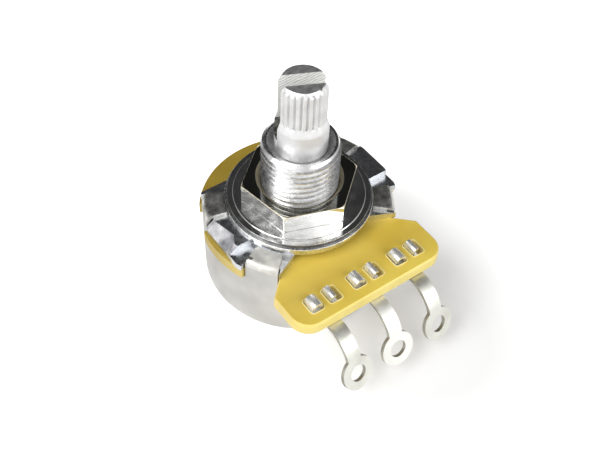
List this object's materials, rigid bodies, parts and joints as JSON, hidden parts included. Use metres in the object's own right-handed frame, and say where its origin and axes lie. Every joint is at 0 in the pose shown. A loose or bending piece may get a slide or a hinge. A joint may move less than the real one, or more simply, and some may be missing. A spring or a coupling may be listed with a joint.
{
  "type": "potentiometer",
  "caption": "Panel potentiometer with a round metal case, threaded bushing with nut and washers, split splined shaft and solder lugs on a side board.",
  "frame": {"origin": "on the shaft's axis, in the flat back face of the case", "axes": "+Z out along the shaft, -Y towards the terminals, X along the row of terminals"},
  "size_m": [0.0248, 0.0341, 0.0309],
  "materials": {
    "case_steel": "satin tinned sheet steel",
    "plate_steel": "bright blued steel sheet",
    "bushing_metal": "bright nickel plate",
    "shaft_metal": "turned, splines bright",
    "nut_metal": "bright nickel plate",
    "washer_metal": "polished",
    "lock_washer_metal": "zinc plated",
    "board": "phenolic paper sheet",
    "terminal_metal": "tinned, cream white",
    "carbon_film": "printed carbon",
    "silver_film": "printed silver",
    "carrier_plastic": "moulded",
    "wiper_metal": "bright spring strip",
    "inner_steel": "plain steel strip"
  },
  "bodies": {
    "root": {"rear_case": "case_steel", "terminal_board": "board", "mounting_plate": "plate_steel", "bushing": "bushing_metal", "lock_washer": "lock_washer_metal", "terminal_left": "terminal_metal", "terminal_centre": "terminal_metal", "terminal_right": "terminal_metal", "resistive_track": "carbon_film", "track_end_pads": "silver_film", "collector_ring": "silver_film"},
    "rotor": {"shaft": "shaft_metal", "wiper_carrier": "carrier_plastic", "wiper": "wiper_metal", "stop_disc": "inner_steel", "thrust_washer": "inner_steel", "spring_washer": "inner_steel", "retaining_ring": "inner_steel"},
    "washer": {"dress_washer": "washer_metal"},
    "nut": {"hex_nut": "nut_metal"}
  },
  "joints": [
    {"name": "shaft_turn", "type": "hinge", "parent": "root", "child": "rotor", "pos_m": [0, 0, 0.012], "axis": [0, 0, 1], "range_deg": [-150, 150]},
    {"name": "washer_lift", "type": "slide", "parent": "root", "child": "washer", "axis": [0, 0, 1], "range_m": [0, 0.00556]},
    {"name": "nut_turn", "type": "hinge", "parent": "washer", "child": "nut", "pos_m": [0, 0, 0.0147], "axis": [0, 0, 1], "range_deg": [0, 2520]}
  ],
  "couplings": [
    {"joint": "nut_turn", "follows": "washer_lift", "rad_per_m": 7915.8}
  ]
}
